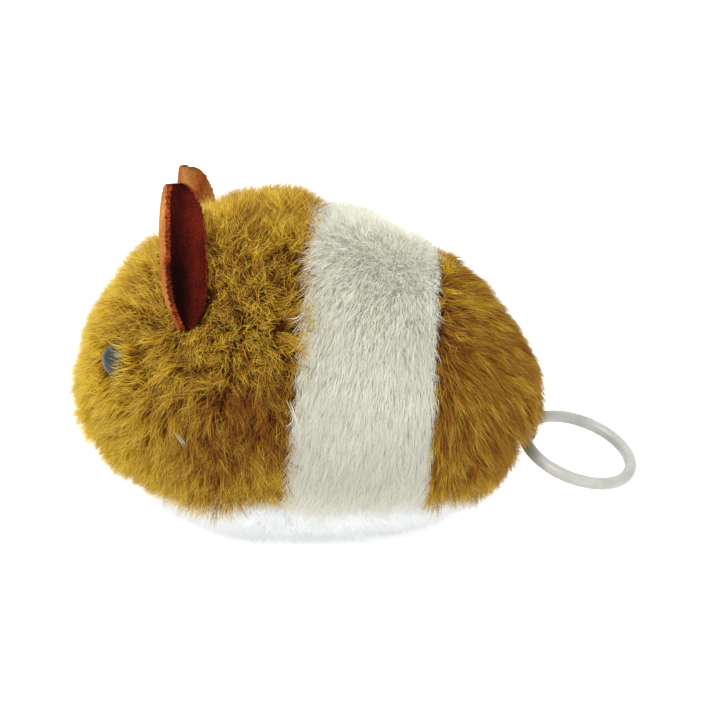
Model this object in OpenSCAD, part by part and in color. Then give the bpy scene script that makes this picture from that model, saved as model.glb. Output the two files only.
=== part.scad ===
// Plush mouse with a pull-ring clockwork inside.
// The nose points to -X, the pull ring to +X, and the mouse's own left side is -Y.
// The origin is the centre of the flat patch under the belly, on the surface it rests on.

/* [Body] */
// Length of the body from the middle to the nose
front_length = 37.6; // [34:0.2:42]
// Length of the body from the middle to the rump
rear_length = 47.4; // [43:0.2:52]
// Half width of the body
half_width = 29; // [27:0.2:32]
// Height of the top of the head above the widest level
top_height = 35.6; // [33:0.2:40]
// Depth of the belly below the widest level, before it is flattened
bottom_depth = 28; // [27.4:0.2:30]
// Height of the widest level above the floor
waist_z = 27; // [25:0.5:27]
// Where the body is widest and highest, along its length
waist_x = -5; // [-7:0.5:-3]
// Thickness of the plush, pile and backing together
plush_thickness = 7.5; // [6.5:0.1:8]

/* [Seams] */
// Height of the seam between the belly and the panels above it
belly_seam_z = 11; // [9.5:0.5:12]
// Where the head seam starts, at the belly seam
head_seam_x = -3.8; // [-6:0.2:-2]
// Lean of the head seam towards the tail
head_seam_lean = 5.5; // [3:0.5:8]
// Where the rump seam starts, at the belly seam
rump_seam_x = 20.3; // [18:0.2:22]
// Lean of the rump seam towards the tail
rump_seam_lean = 1.5; // [0:0.5:3]
// Gap left at each seam
seam_gap = 0.15; // [0.1:0.05:0.3]

/* [Ears and eyes] */
// Height of an ear
ear_height = 24; // [22:0.2:26]
// Radius of the fold in the front half of an ear, where it is widest
ear_front_radius = 4.3; // [4:0.1:5.2]
// Radius of the flatter rear half of an ear, where it is widest
ear_rear_radius = 6.5; // [5.5:0.1:7.5]
// Thickness of the ear cloth
ear_thickness = 1.3; // [0.8:0.1:1.5]
// Foot of an ear: along, across and up
ear_foot = [-20.9, 22.4, 40.7];
// Radius of an eye
eye_radius = 3; // [2.6:0.1:3.2]
// Height of an eye's dome
eye_dome = 2.1; // [1.8:0.1:2.4]
// Centre of the left eye's seat: along, across and up
eye_seat = [-33, 17.3, 34.4];
// Radius of an eye's stem
eye_stem_radius = 1; // [0.8:0.1:1.2]

/* [Pull ring and cord] */
// Radius of the ring, to the middle of its round section
ring_radius = 10.05; // [9:0.05:11]
// Radius of the ring's round section
ring_tube = 1.12; // [1:0.02:1.3]
// Roll of the ring towards the mouse's left
ring_roll = 21; // [15:0.5:25]
// Droop of the ring's far side
ring_droop = 17.5; // [12:0.5:22]
// Where the ring's near side is tied to the cord
tie_x = 38.7; // [38.5:0.1:39.2]
// Diameter of the pull cord
cord_d = 0.9; // [0.7:0.1:0.9]
// Turns of cord on the drum
cord_turns = 3; // [2:1:3]

/* [Clockwork] */
// Tooth size of every gear, its pitch diameter over its tooth count
gear_module = 0.5; // [0.5:0.01:0.5]
// Teeth on the drum's gear
drum_teeth = 44; // [44:1:44]
// Teeth on the small pinions
pinion_teeth = 12; // [12:1:12]
// Teeth on the idler's wheel
wheel_teeth = 36; // [36:1:36]
// Place of the drum's axle, along and up
drum_at = [10, 26];
// Direction from the drum's axle to the idler's
idler_angle = 160; // [155:1:165]
// Direction from the idler's axle to the weight's
weight_angle = 195; // [190:1:200]
// Radius of the drum's core, under the cord
spool_radius = 7.5; // [7.4:0.05:7.6]
// Radius of the off-centre weight
weight_radius = 8.5; // [8:0.1:8.6]
// Half of the case's width
case_half = 12; // [12:0.1:12.5]
// Thickness of the case's walls
case_wall = 1.4; // [1.2:0.1:1.6]

/* [Hidden] */
$fn = 64;
eps = 0.05;

// Colours
brown = [0.62, 0.47, 0.13];
ivory = [0.84, 0.83, 0.76];
white = [0.93, 0.93, 0.90];
ear_red = [0.42, 0.14, 0.08];
milky = [0.92, 0.92, 0.88];

// How square each quarter of the body's side outline is: 2 is an ellipse
square_front_top = 1.85;
square_rear_top = 1.6;
square_front_bottom = 1.8;
square_rear_bottom = 2.4;
square_plan = 2.2;

// Steps of the plush panels' grids
across_steps = 24;
panel_steps = 13;
band_steps = 6;

// The drum's places along Y
gear_low = -5.7;
gear_high = -3.9;
spool_high = 1;
barrel_floor = 2;
barrel_high = 8.6;
inside_half = case_half - case_wall;
end_play = 0.3;
hub_low = -inside_half + end_play;

// The other gears' places along Y
wheel_low = -8.3;
wheel_high = -6.5;
idler_pinion_high = -3.7;
weight_pinion_low = -8.5;
weight_pinion_high = -6.3;
weight_low = -2;
weight_high = 5;

// Shafts and running clearances
running_gap = 0.05;
drum_axle_r = 1;
idler_axle_r = 0.75;
weight_axle_r = 0.8;
axle_half = case_half - 0.4;
arbor_r = 2.4;
barrel_r = 10.4;
barrel_inner_r = 9.4;

// Gear geometry
pressure_angle = 25;
addendum = 0.8 * gear_module;
dedendum = 1.1 * gear_module;
backlash = 0.05;
flank_steps = 4;
drum_gear_r = drum_teeth * gear_module / 2;
pinion_r = pinion_teeth * gear_module / 2;
wheel_r = wheel_teeth * gear_module / 2;
idler_at = drum_at + (drum_gear_r + pinion_r) * [cos(idler_angle), sin(idler_angle)];
weight_at = idler_at + (wheel_r + pinion_r) * [cos(weight_angle), sin(weight_angle)];

// The case's inner outline clears each gear by this much
gear_room = 0.8;
drum_room = drum_gear_r + addendum + gear_room;
idler_room = wheel_r + addendum + gear_room;
weight_room = weight_radius + gear_room;
lug_r = 2.9;
boss_r = 2.6;
strip_inside = 0.03;
screw_r = 1;
screw_head_r = 1.9;
screw_places = [[-4, 15.2], [2.5, 42.4], [-21.6, 37.4], [17, 38.9]];

// The cord leaves the drum at the bottom and runs level along +X
cord_r = cord_d / 2;
wrap_gap = 0.1;
winding_r = spool_radius + cord_r + wrap_gap;
cord_z = drum_at[1] - winding_r;
cord_pitch = 1.1;
tie_at = [tie_x, 0, cord_z];
eyelet_seat_x = 34.5;
guide_low_x = 18.8;
guide_high_x = 22.4;
guide_r = 1.8;
guide_flange_r = 2.7;
guide_flange_x = guide_high_x - 0.8;

// ---------- shapes of the body ----------

function side_square(u, v) =
    v > 0 ? (u < 0 ? square_front_top : square_rear_top)
          : (u < 0 ? square_front_bottom : square_rear_bottom);

// Below 1 inside the body, 1 on its skin, with the body shrunk by inset
function body_level(p, inset) =
    let (
        u = (p[0] - waist_x) / ((p[0] < waist_x ? front_length : rear_length) - inset),
        v = (p[2] - waist_z) / ((p[2] > waist_z ? top_height : bottom_depth) - inset),
        w = p[1] / (half_width - inset),
        s = side_square(u, v)
    )
    pow(pow(abs(u), s) + pow(abs(v), s), square_plan / s) + pow(abs(w), square_plan);

// Distance from o to the skin along d, by halving
function skin_distance(o, d, inset, low = 0, high = 80, left = 22) =
    left == 0 ? (low + high) / 2
    : let (mid = (low + high) / 2)
      body_level(o + mid * d, inset) < 1
        ? skin_distance(o, d, inset, mid, high, left - 1)
        : skin_distance(o, d, inset, low, mid, left - 1);

// The outer skin is flat where it would pass below the floor
function skin_point(o, d, inset) =
    let (
        r = skin_distance(o, d, inset),
        floor_r = (inset == 0 && d[2] < 0) ? o[2] / -d[2] : 1000
    )
    o + min(r, floor_r) * d;

// A direction at turn t round the Y axis (0 is -X, 90 is +Z) and s towards +Y
function lune_direction(t, s) = [-cos(s) * cos(t), sin(s), cos(s) * sin(t)];

function arc_angle(j) = -90 + 180 * j / across_steps;

// One skin of a lune: the -Y pole, the +Y pole, then rows of points between them
function lune_points(o, t_from, t_to, steps, inset) = concat(
    [skin_point(o, [0, -1, 0], inset), skin_point(o, [0, 1, 0], inset)],
    [for (i = [0:steps]) for (j = [1:across_steps - 1])
        skin_point(o, lune_direction(t_from + (t_to - t_from) * i / steps, arc_angle(j)), inset)]
);

// Index of point j of row i in a skin that starts at base
function lune_index(base, i, j) =
    j == 0 ? base : j == across_steps ? base + 1
    : base + 2 + i * (across_steps - 1) + j - 1;

function flip(face, turned) = turned ? [face[0], face[2], face[1]] : face;

function lune_faces(base, steps, turned) = [
    for (i = [0:steps - 1]) for (j = [0:across_steps - 1])
        let (
            a = lune_index(base, i, j),
            b = lune_index(base, i, j + 1),
            c = lune_index(base, i + 1, j + 1),
            d = lune_index(base, i + 1, j)
        )
        each concat(
            b == c ? [] : [flip([a, b, c], turned)],
            a == d ? [] : [flip([a, c, d], turned)]
        )
];

// The flat edge between the two skins, along row i
function lune_rim(inner, i, turned) = [
    for (j = [0:across_steps - 1])
        let (
            a = lune_index(0, i, j),
            b = lune_index(0, i, j + 1),
            c = lune_index(inner, i, j + 1),
            d = lune_index(inner, i, j)
        )
        each [flip([a, b, c], turned), flip([a, c, d], turned)]
];

// A shell of plush between turns t_from and t_to round the Y axis through o
module plush_lune(o, t_from, t_to, steps) {
    outer = lune_points(o, t_from, t_to, steps, 0);
    inner = lune_points(o, t_from, t_to, steps, plush_thickness);
    polyhedron(
        points = concat(outer, inner),
        faces = concat(
            lune_faces(0, steps, false),
            lune_faces(len(outer), steps, true),
            lune_rim(len(outer), 0, true),
            lune_rim(len(outer), steps, false)
        ),
        convexity = 6
    );
}

// ---------- helpers ----------

// A flat shape drawn in X and Z, standing from y_low to y_high
module slab_y(y_low, y_high) {
    translate([0, y_high, 0])
        rotate([90, 0, 0])
            linear_extrude(y_high - y_low) children();
}

// A round bar along Y at a place given along and up
module bar_y(at, radius, y_low, y_high) {
    slab_y(y_low, y_high) translate(at) circle(r = radius);
}

// A round bar along +X at the cord's height
module bar_x(radius, x_low, x_high) {
    translate([x_low, 0, cord_z]) rotate([0, 90, 0]) cylinder(r = radius, h = x_high - x_low);
}

// A tube swept along points, with rings square to the route
function unit(v) = v / norm(v);

function route_direction(route, i) =
    unit(route[min(i + 1, len(route) - 1)] - route[max(i - 1, 0)]);

module swept_tube(route, radius, sides, side_hint) {
    rings = [
        for (i = [0:len(route) - 1])
            let (
                d = route_direction(route, i),
                a = unit(cross(d, side_hint)),
                b = cross(d, a)
            )
            for (k = [0:sides - 1])
                route[i] + radius * (cos(360 * k / sides) * a + sin(360 * k / sides) * b)
    ];
    last = (len(route) - 1) * sides;
    polyhedron(
        points = rings,
        faces = concat(
            [[for (k = [0:sides - 1]) k]],
            [for (i = [0:len(route) - 2]) for (k = [0:sides - 1])
                let (
                    a = i * sides + k,
                    b = i * sides + (k + 1) % sides
                )
                each [[a, a + sides, b + sides], [a, b + sides, b]]],
            [[for (k = [sides - 1:-1:0]) last + k]]
        ),
        convexity = 10
    );
}

// ---------- plush ----------

module head_plush() {
    corner = [head_seam_x - seam_gap, 0, belly_seam_z + seam_gap];
    color(brown) difference() {
        plush_lune(corner, 0, 90 + head_seam_lean, panel_steps);
        for (side = [-1, 1]) at_eye(side) eye_hole();
    }
}

// The band's point at station i and turn j, on the skin shrunk by inset
function band_point(i, j, inset) =
    let (
        share = i / band_steps,
        first = head_seam_x + seam_gap,
        last = rump_seam_x - seam_gap,
        lean = head_seam_lean + (rump_seam_lean - head_seam_lean) * share,
        turn = 180 * j / across_steps,
        o = [first + (last - first) * share, 0, belly_seam_z + seam_gap]
    )
    skin_point(o, [sin(lean) * sin(turn), -cos(turn), cos(lean) * sin(turn)], inset);

function band_skin(inset) =
    [for (i = [0:band_steps]) for (j = [0:across_steps]) band_point(i, j, inset)];

module middle_band_plush() {
    row = across_steps + 1;
    inner = (band_steps + 1) * row;
    last = band_steps * row;
    color(ivory) polyhedron(
        points = concat(band_skin(0), band_skin(plush_thickness)),
        faces = concat(
            [for (i = [0:band_steps - 1]) for (j = [0:across_steps - 1])
                let (a = i * row + j)
                each [[a, a + 1, a + 1 + row], [a, a + 1 + row, a + row]]],
            [for (i = [0:band_steps - 1]) for (j = [0:across_steps - 1])
                let (a = inner + i * row + j)
                each [[a, a + 1 + row, a + 1], [a, a + row, a + 1 + row]]],
            [for (j = [0:across_steps - 1])
                each [[j, inner + j, inner + j + 1], [j, inner + j + 1, j + 1]]],
            [for (j = [0:across_steps - 1])
                let (a = last + j)
                each [[a, inner + a + 1, inner + a], [a, a + 1, inner + a + 1]]],
            [for (i = [0:band_steps - 1])
                let (a = i * row)
                each [[a, inner + a + row, inner + a], [a, a + row, inner + a + row]]],
            [for (i = [0:band_steps - 1])
                let (a = i * row + across_steps)
                each [[a, inner + a, inner + a + row], [a, inner + a + row, a + row]]]
        ),
        convexity = 6
    );
}

module rump_plush() {
    corner = [rump_seam_x + seam_gap, 0, belly_seam_z + seam_gap];
    color(brown) difference() {
        plush_lune(corner, 90 + rump_seam_lean, 180, panel_steps);
        ring_pocket();
        bar_x(eyelet_barrel_r, eyelet_back_x - 1, eyelet_seat_x + 1);
        bar_x(eyelet_flange_r + 0.1, eyelet_back_x - 6, eyelet_back_x);
    }
}

module belly_plush() {
    color(white) plush_lune([2, 0, belly_seam_z - seam_gap], 180, 360, 2 * panel_steps);
}

// Room in the rump's pile for the ring's near side and the knot
pocket_half = 6.6;
pocket_r = 2.45;

module ring_pocket() {
    translate([eyelet_seat_x, 0, cord_z - 0.3])
        rotate([ring_roll - 2, 0, 0])
            rotate([0, 90, 0]) linear_extrude(12) union() {
                for (side = [-1, 1]) translate([0, side * pocket_half]) circle(r = pocket_r);
                square([2 * pocket_r, 2 * pocket_half], center = true);
            }
}

// ---------- stuffing ----------

stuffing_inset = plush_thickness + 0.3;
stuffing_rows = 14;

module stuffing_ball() {
    count = 2 * across_steps;
    o = [0, 0, waist_z];
    polyhedron(
        points = concat(
            [skin_point(o, [0, 0, -1], stuffing_inset), skin_point(o, [0, 0, 1], stuffing_inset)],
            [for (i = [1:stuffing_rows - 1]) for (j = [0:count - 1])
                let (
                    up = -90 + 180 * i / stuffing_rows,
                    turn = 360 * j / count
                )
                skin_point(o, [cos(up) * cos(turn), cos(up) * sin(turn), sin(up)], stuffing_inset)]
        ),
        faces = concat(
            [for (j = [0:count - 1]) [0, 2 + j, 2 + (j + 1) % count]],
            [for (i = [0:stuffing_rows - 3]) for (j = [0:count - 1])
                let (
                    a = 2 + i * count + j,
                    b = 2 + i * count + (j + 1) % count
                )
                each [[a, a + count, b + count], [a, b + count, b]]],
            [for (j = [0:count - 1])
                let (base = 2 + (stuffing_rows - 2) * count)
                [1, base + (j + 1) % count, base + j]]
        ),
        convexity = 6
    );
}

module stuffing() {
    color(white) difference() {
        stuffing_ball();
        slab_y(-case_half - 0.2, case_half + 0.2) case_outline(case_wall + 0.2, lug_r + 0.2);
        bar_x(guide_flange_r + 0.3, guide_low_x, guide_high_x + 0.4);
        bar_x(cord_hole_r + 0.4, guide_high_x, 40);
        bar_x(eyelet_flange_r + 0.4, eyelet_back_x - eyelet_flange - 0.3, 40);
        for (side = [-1, 1]) at_eye(side)
            translate([0, 0, -11]) cylinder(r = 3.6, h = 6);
    }
}

// ---------- eyes ----------

// Places its children at an eye's seat, with +Z outwards; side is -1 on the left
module at_eye(side) {
    translate([eye_seat[0], side * eye_seat[1], eye_seat[2]])
        rotate([0, 0, side * 149])
            rotate([0, 86, 0]) children();
}

module eye_hole() {
    cylinder(r = eye_radius + 0.2, h = 12);
    translate([0, 0, -12]) cylinder(r = eye_stem_radius, h = 13);
}

module eye() {
    color([0.06, 0.07, 0.08]) {
        rotate_extrude() union() {
            square([eye_radius, 0.5]);
            translate([0, 0.5]) intersection() {
                translate([0, eye_dome_centre]) circle(r = eye_dome_radius);
                square([eye_radius, eye_dome]);
            }
        }
        translate([0, 0, -9.5]) cylinder(r = eye_stem_radius, h = 9.6);
    }
}

// The dome is a cap of a ball that meets the rim at the eye's radius
eye_dome_radius = (eye_radius * eye_radius + eye_dome * eye_dome) / (2 * eye_dome);
eye_dome_centre = eye_dome - eye_dome_radius;

module eye_left() { at_eye(-1) eye(); }
module eye_right() { at_eye(1) eye(); }

module eye_washers() {
    color(white) for (side = [-1, 1]) at_eye(side)
        translate([0, 0, -9])
            difference() {
                cylinder(r = 3.2, h = 0.9);
                translate([0, 0, -eps]) cylinder(r = eye_stem_radius, h = 1);
            }
}

// ---------- ears ----------

ear_rows = 14;
ear_columns = 16;
ear_front_curl = 110;
ear_rear_curl = 38;
ear_yaw = 20;
ear_front_widest = 0.42;
ear_rear_widest = 0.48;
ear_lean = 7.5;
ear_forward = 1.3;

// Share of its full width that the front half has at height t, from 0 to 1
function ear_front_share(t) =
    t < ear_front_widest ? pow(sin(90 * (t + 0.04) / (ear_front_widest + 0.04)), 0.9)
                         : pow(1 - pow((t - ear_front_widest) / 0.66, 2.4), 1 / 2.4);

// The same for the rear half
function ear_rear_share(t) =
    let (away = t < ear_rear_widest ? (ear_rear_widest - t) / 0.483 : (t - ear_rear_widest) / 0.523)
    pow(1 - pow(away, 2.4), 1 / 2.4);

// A point of the folded ear's middle surface; s runs across it from -1 to 1, front to rear
function ear_middle(t, s) =
    let (
        rear = s > 0,
        angle = abs(s) * (rear ? ear_rear_curl : ear_front_curl),
        radius = rear ? ear_rear_radius * ear_rear_share(t) : ear_front_radius * ear_front_share(t),
        x = sign(s) * radius * sin(angle),
        y = -radius * (1 - cos(angle))
    )
    [
        x * cos(ear_yaw) - y * sin(ear_yaw) - ear_forward * t,
        x * sin(ear_yaw) + y * cos(ear_yaw) + ear_lean * t,
        ear_height * t
    ];

function ear_side(t, s) =
    let (along = ear_middle(t, s + 0.01) - ear_middle(t, s - 0.01))
    unit([along[1], -along[0], 0]);

function ear_skin(offset_by) = [
    for (i = [0:ear_rows]) for (j = [0:ear_columns])
        let (
            t = i / ear_rows,
            s = -1 + 2 * j / ear_columns
        )
        ear_middle(t, s) + offset_by * ear_side(t, s)
];

module folded_ear() {
    row = ear_columns + 1;
    back = (ear_rows + 1) * row;
    top = ear_rows * row;
    polyhedron(
        points = concat(ear_skin(ear_thickness / 2), ear_skin(-ear_thickness / 2)),
        faces = concat(
            [for (i = [0:ear_rows - 1]) for (j = [0:ear_columns - 1])
                let (a = i * row + j)
                each [[a, a + 1 + row, a + 1], [a, a + row, a + 1 + row]]],
            [for (i = [0:ear_rows - 1]) for (j = [0:ear_columns - 1])
                let (a = back + i * row + j)
                each [[a, a + 1, a + 1 + row], [a, a + 1 + row, a + row]]],
            [for (j = [0:ear_columns - 1])
                each [[j, j + 1, back + j + 1], [j, back + j + 1, back + j]]],
            [for (j = [0:ear_columns - 1])
                let (a = top + j)
                each [[a, back + a + 1, a + 1], [a, back + a, back + a + 1]]],
            [for (i = [0:ear_rows - 1])
                let (a = i * row)
                each [[a, back + a, back + a + row], [a, back + a + row, a + row]]],
            [for (i = [0:ear_rows - 1])
                let (a = i * row + ear_columns)
                each [[a, back + a + row, back + a], [a, a + row, back + a + row]]]
        ),
        convexity = 6
    );
}

module ear_left() {
    color(ear_red) translate([ear_foot[0], -ear_foot[1], ear_foot[2]]) folded_ear();
}

module ear_right() {
    mirror([0, 1, 0]) ear_left();
}

// ---------- pull ring and cord ----------

eyelet_barrel_r = 1.4;
eyelet_flange_r = 3.2;
eyelet_back_x = 31.5;
eyelet_flange = 0.7;
cord_hole_r = 0.75;

// Carries the ring's own frame to its place: the tied side is at the ring's local -X
module at_ring() {
    translate(tie_at)
        rotate([0, ring_droop, 0])
            rotate([ring_roll, 0, 0])
                translate([ring_radius, 0, 0]) children();
}

module pull_ring() {
    color(milky) at_ring()
        rotate_extrude() translate([ring_radius, 0]) circle(r = ring_tube);
}

// A loop round the ring's section, and the knot that stops against the eyelet
loop_gap = 0.04;
knot_r = 1.05;
knot_x = 36.4;

module cord_knot() {
    loop_r = ring_tube + loop_gap + cord_r;
    color(milky) union() {
        at_ring() translate([-ring_radius, 0, 0]) rotate([90, 0, 0])
            rotate_extrude() translate([loop_r, 0]) circle(r = cord_r);
        difference() {
            translate([knot_x, 0, cord_z]) sphere(r = knot_r);
            at_ring() rotate_extrude() translate([ring_radius, 0]) circle(r = ring_tube + loop_gap);
        }
    }
}

lead_route_x = [10.05, 13, 16, 19, 22, 25, 28, 31, 34, 35.3];

module cord_lead() {
    color(milky) swept_tube([for (x = lead_route_x) [x, 0, cord_z]], cord_r, 8, [0, 1, 0]);
}

// The turns start beside the gear and end under the drum, where the lead leaves
rings_a_turn = 24;

module cord_winding() {
    steps = cord_turns * rings_a_turn;
    turns = [
        for (i = [0:steps])
            let (a = 360 * i / rings_a_turn)
            [
                drum_at[0] + winding_r * sin(a),
                -cord_pitch * (steps - i) / rings_a_turn,
                drum_at[1] - winding_r * cos(a)
            ]
    ];
    color(milky) swept_tube(turns, cord_r, 8, [0, 1, 0]);
}

module cord_guide() {
    color(milky) difference() {
        union() {
            bar_x(guide_r, guide_low_x, guide_high_x);
            bar_x(guide_flange_r, guide_flange_x, guide_high_x);
        }
        bar_x(cord_hole_r, guide_low_x - eps, guide_high_x + eps);
    }
}

module tail_eyelet() {
    color(milky) difference() {
        union() {
            bar_x(eyelet_barrel_r, eyelet_back_x - eps, eyelet_seat_x + eps);
            bar_x(eyelet_flange_r, eyelet_back_x - eyelet_flange, eyelet_back_x);
            bar_x(pocket_r - 0.6, eyelet_seat_x, eyelet_seat_x + eyelet_flange);
        }
        bar_x(cord_hole_r, eyelet_back_x - 1, eyelet_seat_x + 1);
    }
}

// ---------- clockwork case ----------

// The strip between two circles that makes their outline one rounded shape. Its corners lie a
// little inside the circles, so that the outlines cross and don't only touch
module tangent_strip(a, a_r, b, b_r) {
    gap = b - a;
    heading = atan2(gap[1], gap[0]);
    swing = acos((a_r - b_r) / norm(gap));
    function rim(c, r, turn) = c + r * [cos(turn), sin(turn)];
    polygon([
        rim(a, a_r - strip_inside, heading + swing),
        rim(b, b_r - strip_inside, heading + swing),
        rim(b, b_r - strip_inside, heading - swing),
        rim(a, a_r - strip_inside, heading - swing)
    ]);
}

module case_room(grow) {
    translate(drum_at) circle(r = drum_room + grow);
    translate(idler_at) circle(r = idler_room + grow);
    translate(weight_at) circle(r = weight_room + grow);
    tangent_strip(drum_at, drum_room + grow, idler_at, idler_room + grow);
    tangent_strip(idler_at, idler_room + grow, weight_at, weight_room + grow);
    tangent_strip(drum_at, drum_room + grow, weight_at, weight_room + grow);
}

module case_outline(grow, lug) {
    case_room(grow);
    for (place = screw_places) translate(place) circle(r = lug);
}

// One shell from y_low to y_high, with its room left inside between the given levels
module case_shell(y_low, y_high, room_low, room_high) {
    difference() {
        slab_y(y_low, y_high) case_outline(case_wall, lug_r);
        slab_y(room_low, room_high) difference() {
            case_room(0);
            for (place = screw_places) translate(place) circle(r = boss_r);
        }
    }
}

// Everything that is bored through both shells
module case_bores() {
    bar_y(drum_at, drum_axle_r, -axle_half, axle_half);
    bar_y(idler_at, idler_axle_r, -axle_half, axle_half);
    bar_y(weight_at, weight_axle_r + running_gap, -axle_half - 0.1, axle_half + 0.1);
    bar_x(guide_r, guide_low_x - 1, guide_high_x + 1);
    bar_x(guide_flange_r, guide_flange_x, guide_high_x + 3);
    for (place = screw_places) {
        bar_y(place, screw_r, -case_half - eps, case_half - 2);
        bar_y(place, screw_head_r + 0.1, -case_half - eps, -case_half + 1.2);
    }
}

module case_left() {
    color([0.80, 0.80, 0.78]) difference() {
        union() {
            case_shell(-case_half, 0, -inside_half, eps);
            bar_y(weight_at, 2.2, -inside_half - eps, weight_pinion_low - end_play);
        }
        case_bores();
    }
}

module case_right() {
    color([0.80, 0.80, 0.78]) difference() {
        union() {
            case_shell(0, case_half, -eps, inside_half);
            bar_y(drum_at, arbor_r, barrel_floor + end_play, inside_half + eps);
            bar_y(idler_at, 2, idler_pinion_high + end_play, inside_half + eps);
            bar_y(weight_at, 2.2, weight_high + end_play, inside_half + eps);
        }
        case_bores();
        slab_y(barrel_floor, barrel_high) translate(drum_at)
            translate([1.5, -0.25]) square([1.2, 0.5]);
    }
}

module case_screws() {
    color([0.6, 0.6, 0.62]) for (place = screw_places) difference() {
        union() {
            bar_y(place, screw_r, -case_half + 1, case_half - 3);
            bar_y(place, screw_head_r, -case_half + 0.1, -case_half + 1.2);
        }
        slab_y(-case_half, -case_half + 0.6) translate(place) {
            square([2.6, 0.5], center = true);
            square([0.5, 2.6], center = true);
        }
    }
}

// ---------- gears ----------

function involute_angle(r, base_r) =
    let (a = acos(min(1, base_r / r)))
    tan(a) * 180 / PI - a;

// Half the angle that a tooth fills at radius r
function tooth_half_angle(r, teeth) =
    let (
        pitch_r = teeth * gear_module / 2,
        base_r = pitch_r * cos(pressure_angle),
        at_pitch = 90 / teeth - backlash / 2 / pitch_r * 180 / PI
    )
    at_pitch + involute_angle(pitch_r, base_r) - involute_angle(max(r, base_r), base_r);

function tooth_radius(i, teeth) =
    let (
        pitch_r = teeth * gear_module / 2,
        low = pitch_r * cos(pressure_angle),
        high = pitch_r + addendum
    )
    i == 0 ? pitch_r - dedendum
    : max(low, pitch_r - dedendum) + (high - max(low, pitch_r - dedendum)) * (i - 1) / (flank_steps - 1);

function gear_outline(teeth) = [
    for (k = [0:teeth - 1]) each concat(
        [for (i = [0:flank_steps])
            let (
                r = tooth_radius(i, teeth),
                a = 360 * k / teeth - tooth_half_angle(r, teeth)
            )
            r * [cos(a), sin(a)]],
        [for (i = [flank_steps:-1:0])
            let (
                r = tooth_radius(i, teeth),
                a = 360 * k / teeth + tooth_half_angle(r, teeth)
            )
            r * [cos(a), sin(a)]]
    )
];

// A gear with one tooth centred on the given direction
module gear(at, teeth, direction, y_low, y_high) {
    slab_y(y_low, y_high) translate(at) rotate(direction) polygon(gear_outline(teeth));
}

// The direction that puts a pinion's gap where its partner's tooth is
function meeting(direction, teeth) = direction + 180 + 180 / teeth;

// ---------- clockwork ----------

module cord_drum() {
    color([0.85, 0.45, 0.15]) difference() {
        union() {
            gear(drum_at, drum_teeth, idler_angle, gear_low, gear_high);
            bar_y(drum_at, 2.2, hub_low, gear_low + eps);
            bar_y(drum_at, spool_radius, gear_high - eps, spool_high + eps);
            bar_y(drum_at, barrel_r, spool_high, barrel_high);
        }
        bar_y(drum_at, drum_axle_r + running_gap, hub_low - eps, barrel_floor + eps);
        bar_y(drum_at, barrel_inner_r, barrel_floor, barrel_high + eps);
        // lightening holes through the gear web
        for (turn = [0:60:300])
            bar_y(drum_at + 5 * [cos(turn), sin(turn)], 1.5, gear_low - eps, barrel_floor + eps);
    }
}

module drum_axle() {
    color([0.7, 0.7, 0.72]) bar_y(drum_at, drum_axle_r, -axle_half, axle_half);
}

spring_thickness = 0.22;
spring_turns = 8;
spring_inner_r = 2.75;
spring_outer_r = 9.05;
spring_tab_x = 1.6;
spring_points_a_turn = 30;

function spring_point(i, side) =
    let (
        last = spring_turns * spring_points_a_turn,
        r = spring_inner_r + (spring_outer_r - spring_inner_r) * i / last
            + side * spring_thickness / 2,
        a = 360 * i / spring_points_a_turn
    )
    r * [cos(a), sin(a)];

module mainspring() {
    last = spring_turns * spring_points_a_turn;
    half = spring_thickness / 2;
    // the inner end is a straight tab in the arbor's slot; the outer end lies free in the barrel
    color([0.45, 0.5, 0.55]) slab_y(barrel_floor + 0.5, barrel_high - 0.4) translate(drum_at)
        polygon(concat(
            [[spring_tab_x, half], [spring_inner_r - half - 0.01, half]],
            [for (i = [1:last]) spring_point(i, -1)],
            [for (i = [last:-1:0]) spring_point(i, 1)],
            [[spring_inner_r + half, -half], [spring_tab_x, -half]]
        ));
}

module idler_gear() {
    color([0.9, 0.9, 0.88]) difference() {
        union() {
            bar_y(idler_at, 1.7, hub_low, wheel_low + eps);
            gear(idler_at, wheel_teeth, weight_angle, wheel_low, wheel_high);
            gear(idler_at, pinion_teeth, meeting(idler_angle, pinion_teeth), wheel_high - eps, idler_pinion_high);
        }
        bar_y(idler_at, idler_axle_r + running_gap, hub_low - eps, idler_pinion_high + eps);
        for (turn = [0:60:300])
            bar_y(idler_at + 5.8 * [cos(turn), sin(turn)], 1.5, wheel_low - eps, wheel_high + eps);
    }
}

module idler_axle() {
    color([0.7, 0.7, 0.72]) bar_y(idler_at, idler_axle_r, -axle_half, axle_half);
}

module weight_pinion() {
    color([0.9, 0.9, 0.88]) difference() {
        gear(weight_at, pinion_teeth, meeting(weight_angle, pinion_teeth), weight_pinion_low, weight_pinion_high);
        bar_y(weight_at, weight_axle_r, weight_pinion_low - eps, weight_pinion_high + eps);
    }
}

// A half disc that hangs below its axle, with a round boss
module eccentric_weight() {
    color([0.55, 0.55, 0.58]) difference() {
        slab_y(weight_low, weight_high) translate(weight_at) union() {
            intersection() {
                circle(r = weight_radius);
                translate([-weight_radius, -weight_radius]) square([2 * weight_radius, weight_radius]);
            }
            circle(r = 2.4);
        }
        bar_y(weight_at, weight_axle_r, weight_low - eps, weight_high + eps);
    }
}

module weight_axle() {
    color([0.7, 0.7, 0.72]) bar_y(weight_at, weight_axle_r, -axle_half, axle_half);
}

head_plush();
middle_band_plush();
rump_plush();
belly_plush();
ear_left();
ear_right();
eye_left();
eye_right();
eye_washers();
stuffing();
tail_eyelet();
pull_ring();
cord_knot();
cord_lead();
cord_winding();
cord_guide();
case_left();
case_right();
case_screws();
cord_drum();
drum_axle();
mainspring();
idler_gear();
idler_axle();
weight_pinion();
eccentric_weight();
weight_axle();
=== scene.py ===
import math

import bmesh
import bpy
import numpy as np
from mathutils import Matrix, Vector
from mathutils.kdtree import KDTree


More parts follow.
